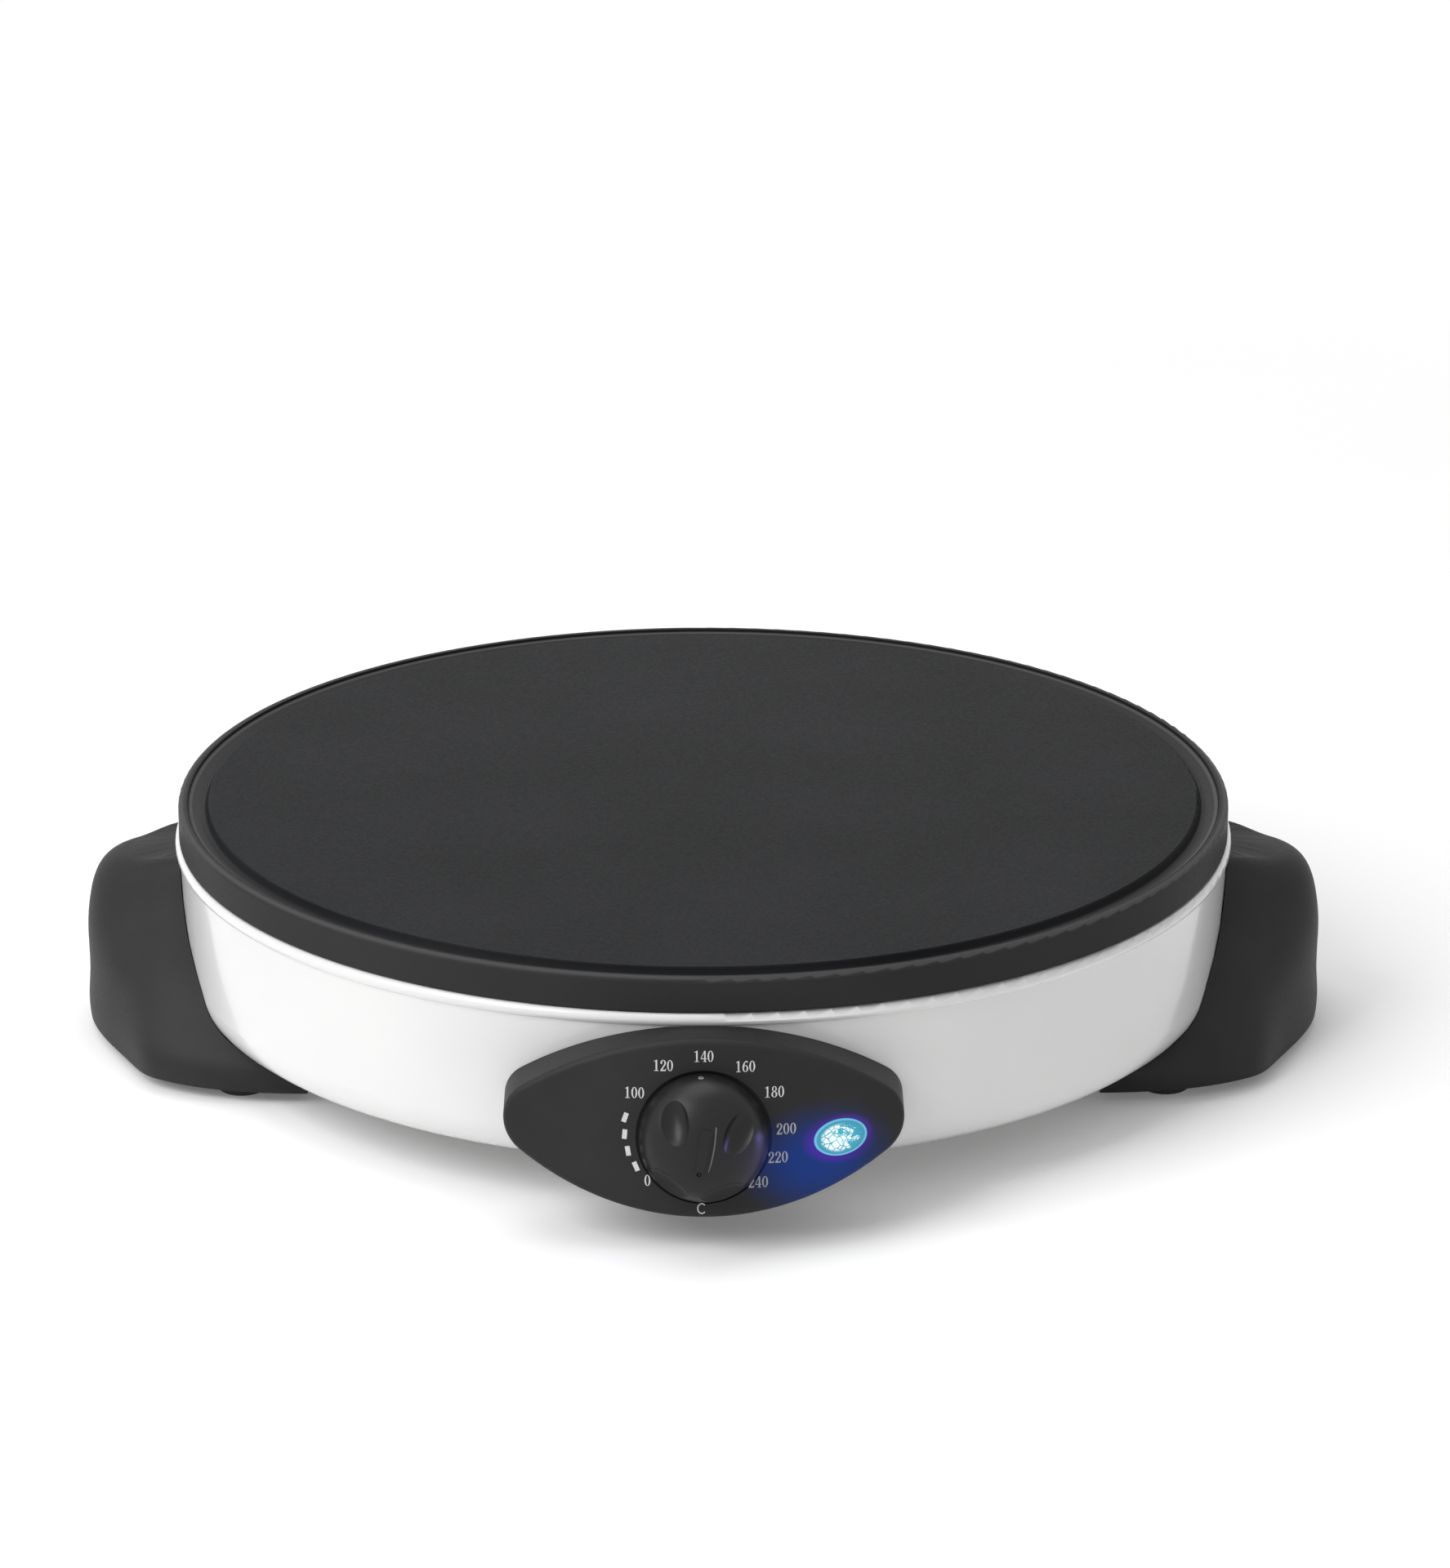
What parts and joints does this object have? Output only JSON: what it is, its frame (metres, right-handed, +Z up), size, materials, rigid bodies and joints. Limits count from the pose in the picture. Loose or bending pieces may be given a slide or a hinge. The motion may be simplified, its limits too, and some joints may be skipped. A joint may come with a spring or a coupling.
{
  "type": "electric crepe maker",
  "caption": "Open round electric crepe griddle on a low drum housing, with two ear handles, a front panel with a turning temperature knob and signal lamp, and rubber feet.",
  "frame": {"origin": "middle of the footprint's bounding box, on the table", "axes": "+Z up, the front with the control panel faces -Y, +X is the user's right"},
  "size_m": [0.3908, 0.3665, 0.077],
  "materials": {
    "nonstick_black": "satin black non-stick coat on cast aluminium",
    "white_enamel": "gloss white paint on sheet steel",
    "charcoal_plastic": "fine grained matte",
    "knob_plastic": "semi gloss",
    "lens_cyan": "clear tinted, lit from behind",
    "lamp_glow": "clear glass neon lamp",
    "foot_rubber": "matte",
    "steel_plain": "plain bright",
    "steel_screw": "zinc plated",
    "element_sheath": "heat darkened tube",
    "shield_aluminium": "plain rolled",
    "ceramic_white": "unglazed",
    "brass_plain": "plain",
    "copper_tube": "copper alloy capillary",
    "inlet_plastic": "matte moulded"
  },
  "bodies": {
    "cooker": {"griddle_plate": "nonstick_black", "heating_element": "element_sheath", "element_insulators": "ceramic_white", "element_tabs": "steel_plain", "element_clips": "steel_plain", "clip_screws": "steel_screw", "heat_shield": "shield_aluminium", "plate_spacers": "steel_plain", "plate_screws": "steel_screw", "housing_shell": "white_enamel", "bottom_cover": "steel_plain", "cover_screws": "steel_screw", "right_handle": "charcoal_plastic", "left_handle": "charcoal_plastic", "handle_screws": "steel_screw", "foot_screws": "steel_screw", "control_panel": "charcoal_plastic", "panel_screws": "steel_screw", "thermostat_body": "steel_plain", "thermostat_screws": "steel_screw", "capillary_tube": "copper_tube", "sensor_bulb": "copper_tube", "bulb_saddle": "steel_plain", "thermal_fuse": "ceramic_white", "fuse_saddle": "steel_plain", "saddle_screws": "steel_screw", "lamp_lens": "lens_cyan", "signal_lamp": "lamp_glow", "cord_inlet": "inlet_plastic", "inlet_nut": "inlet_plastic", "terminal_block": "ceramic_white", "block_screws": "steel_screw", "earth_tag": "brass_plain", "earth_screw": "steel_screw", "front_left_foot": "foot_rubber", "front_right_foot": "foot_rubber", "rear_left_foot": "foot_rubber", "rear_right_foot": "foot_rubber"},
    "knob": {"temperature_knob": "knob_plastic", "thermostat_shaft": "steel_plain"}
  },
  "joints": [
    {"name": "knob_turn", "type": "hinge", "parent": "cooker", "child": "knob", "pos_m": [0, -0.16747, 0.03437], "axis": [0, -0.9836, 0.1805], "range_deg": [-130, 127]}
  ]
}
